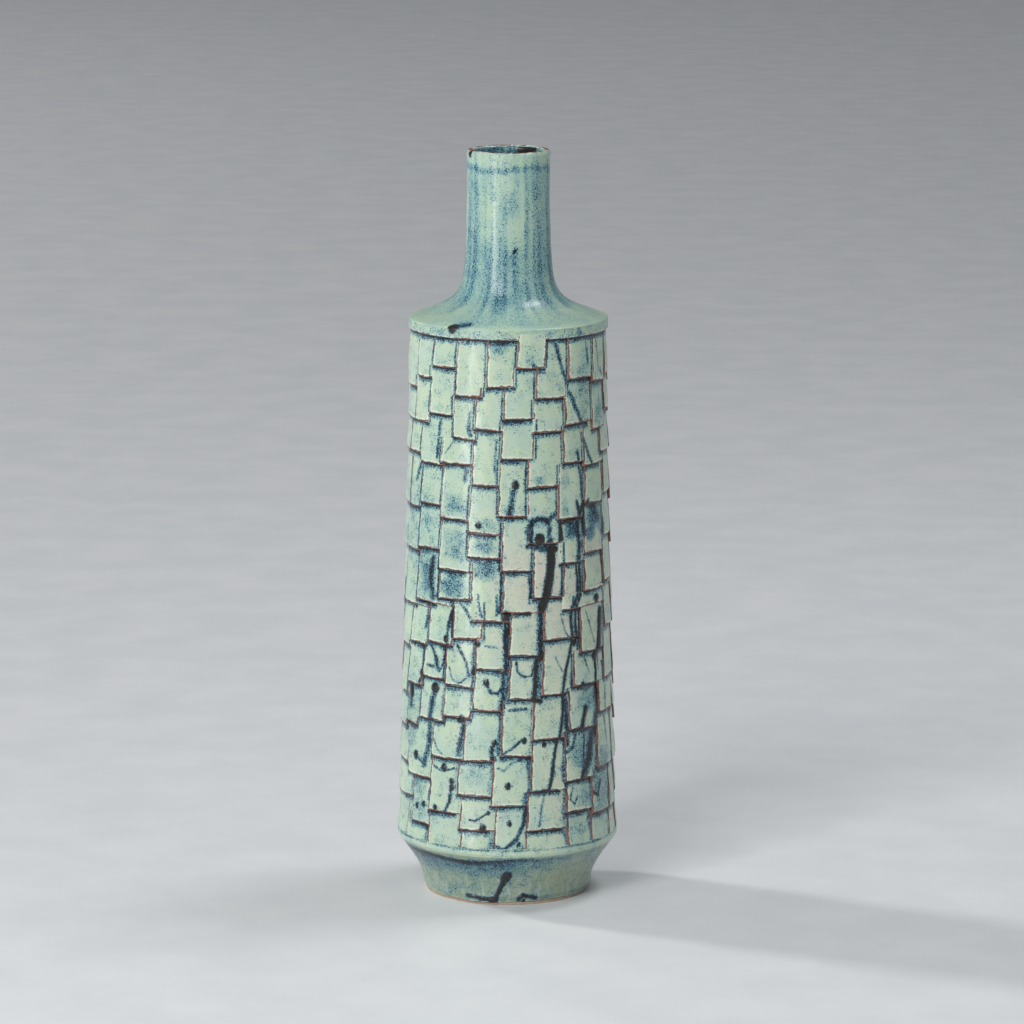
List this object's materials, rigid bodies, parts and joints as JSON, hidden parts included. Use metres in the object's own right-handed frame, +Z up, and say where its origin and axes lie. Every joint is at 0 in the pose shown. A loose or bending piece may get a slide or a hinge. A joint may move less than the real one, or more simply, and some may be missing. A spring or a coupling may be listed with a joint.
{
  "type": "bottle vase",
  "caption": "Tall slim bottle vase with a waisted foot, a tapered body covered in lapped rectangular tiles, a flat shoulder and a narrow straight neck.",
  "frame": {"origin": "centre of the foot's underside", "axes": "+Z up along the vase's axis, -Y towards the viewer"},
  "size_m": [0.1126, 0.1126, 0.38],
  "materials": {
    "tile_glaze": "satin celadon glaze with blue speckle and rust-brown edges",
    "band_glaze": "satin celadon glaze",
    "neck_glaze": "satin celadon glaze with blue-green streaks",
    "collar_glaze": "satin dark blue-green glaze",
    "bare_clay": "matt unglazed fired clay"
  },
  "bodies": {
    "root": {"foot_ring": "collar_glaze", "base_floor": "bare_clay", "foot_collar": "collar_glaze", "lower_band": "band_glaze", "body_wall": "band_glaze", "upper_band": "band_glaze", "shoulder": "neck_glaze", "neck": "neck_glaze", "lip": "neck_glaze", "tile_column_01": "tile_glaze", "tile_column_02": "tile_glaze", "tile_column_03": "tile_glaze", "tile_column_04": "tile_glaze", "tile_column_05": "tile_glaze", "tile_column_06": "tile_glaze", "tile_column_07": "tile_glaze", "tile_column_08": "tile_glaze", "tile_column_09": "tile_glaze", "tile_column_10": "tile_glaze", "tile_column_11": "tile_glaze", "tile_column_12": "tile_glaze", "tile_column_13": "tile_glaze", "tile_column_14": "tile_glaze", "tile_column_15": "tile_glaze", "tile_column_16": "tile_glaze", "tile_column_17": "tile_glaze", "tile_column_18": "tile_glaze", "tile_column_19": "tile_glaze", "tile_column_20": "tile_glaze"}
  },
  "joints": []
}
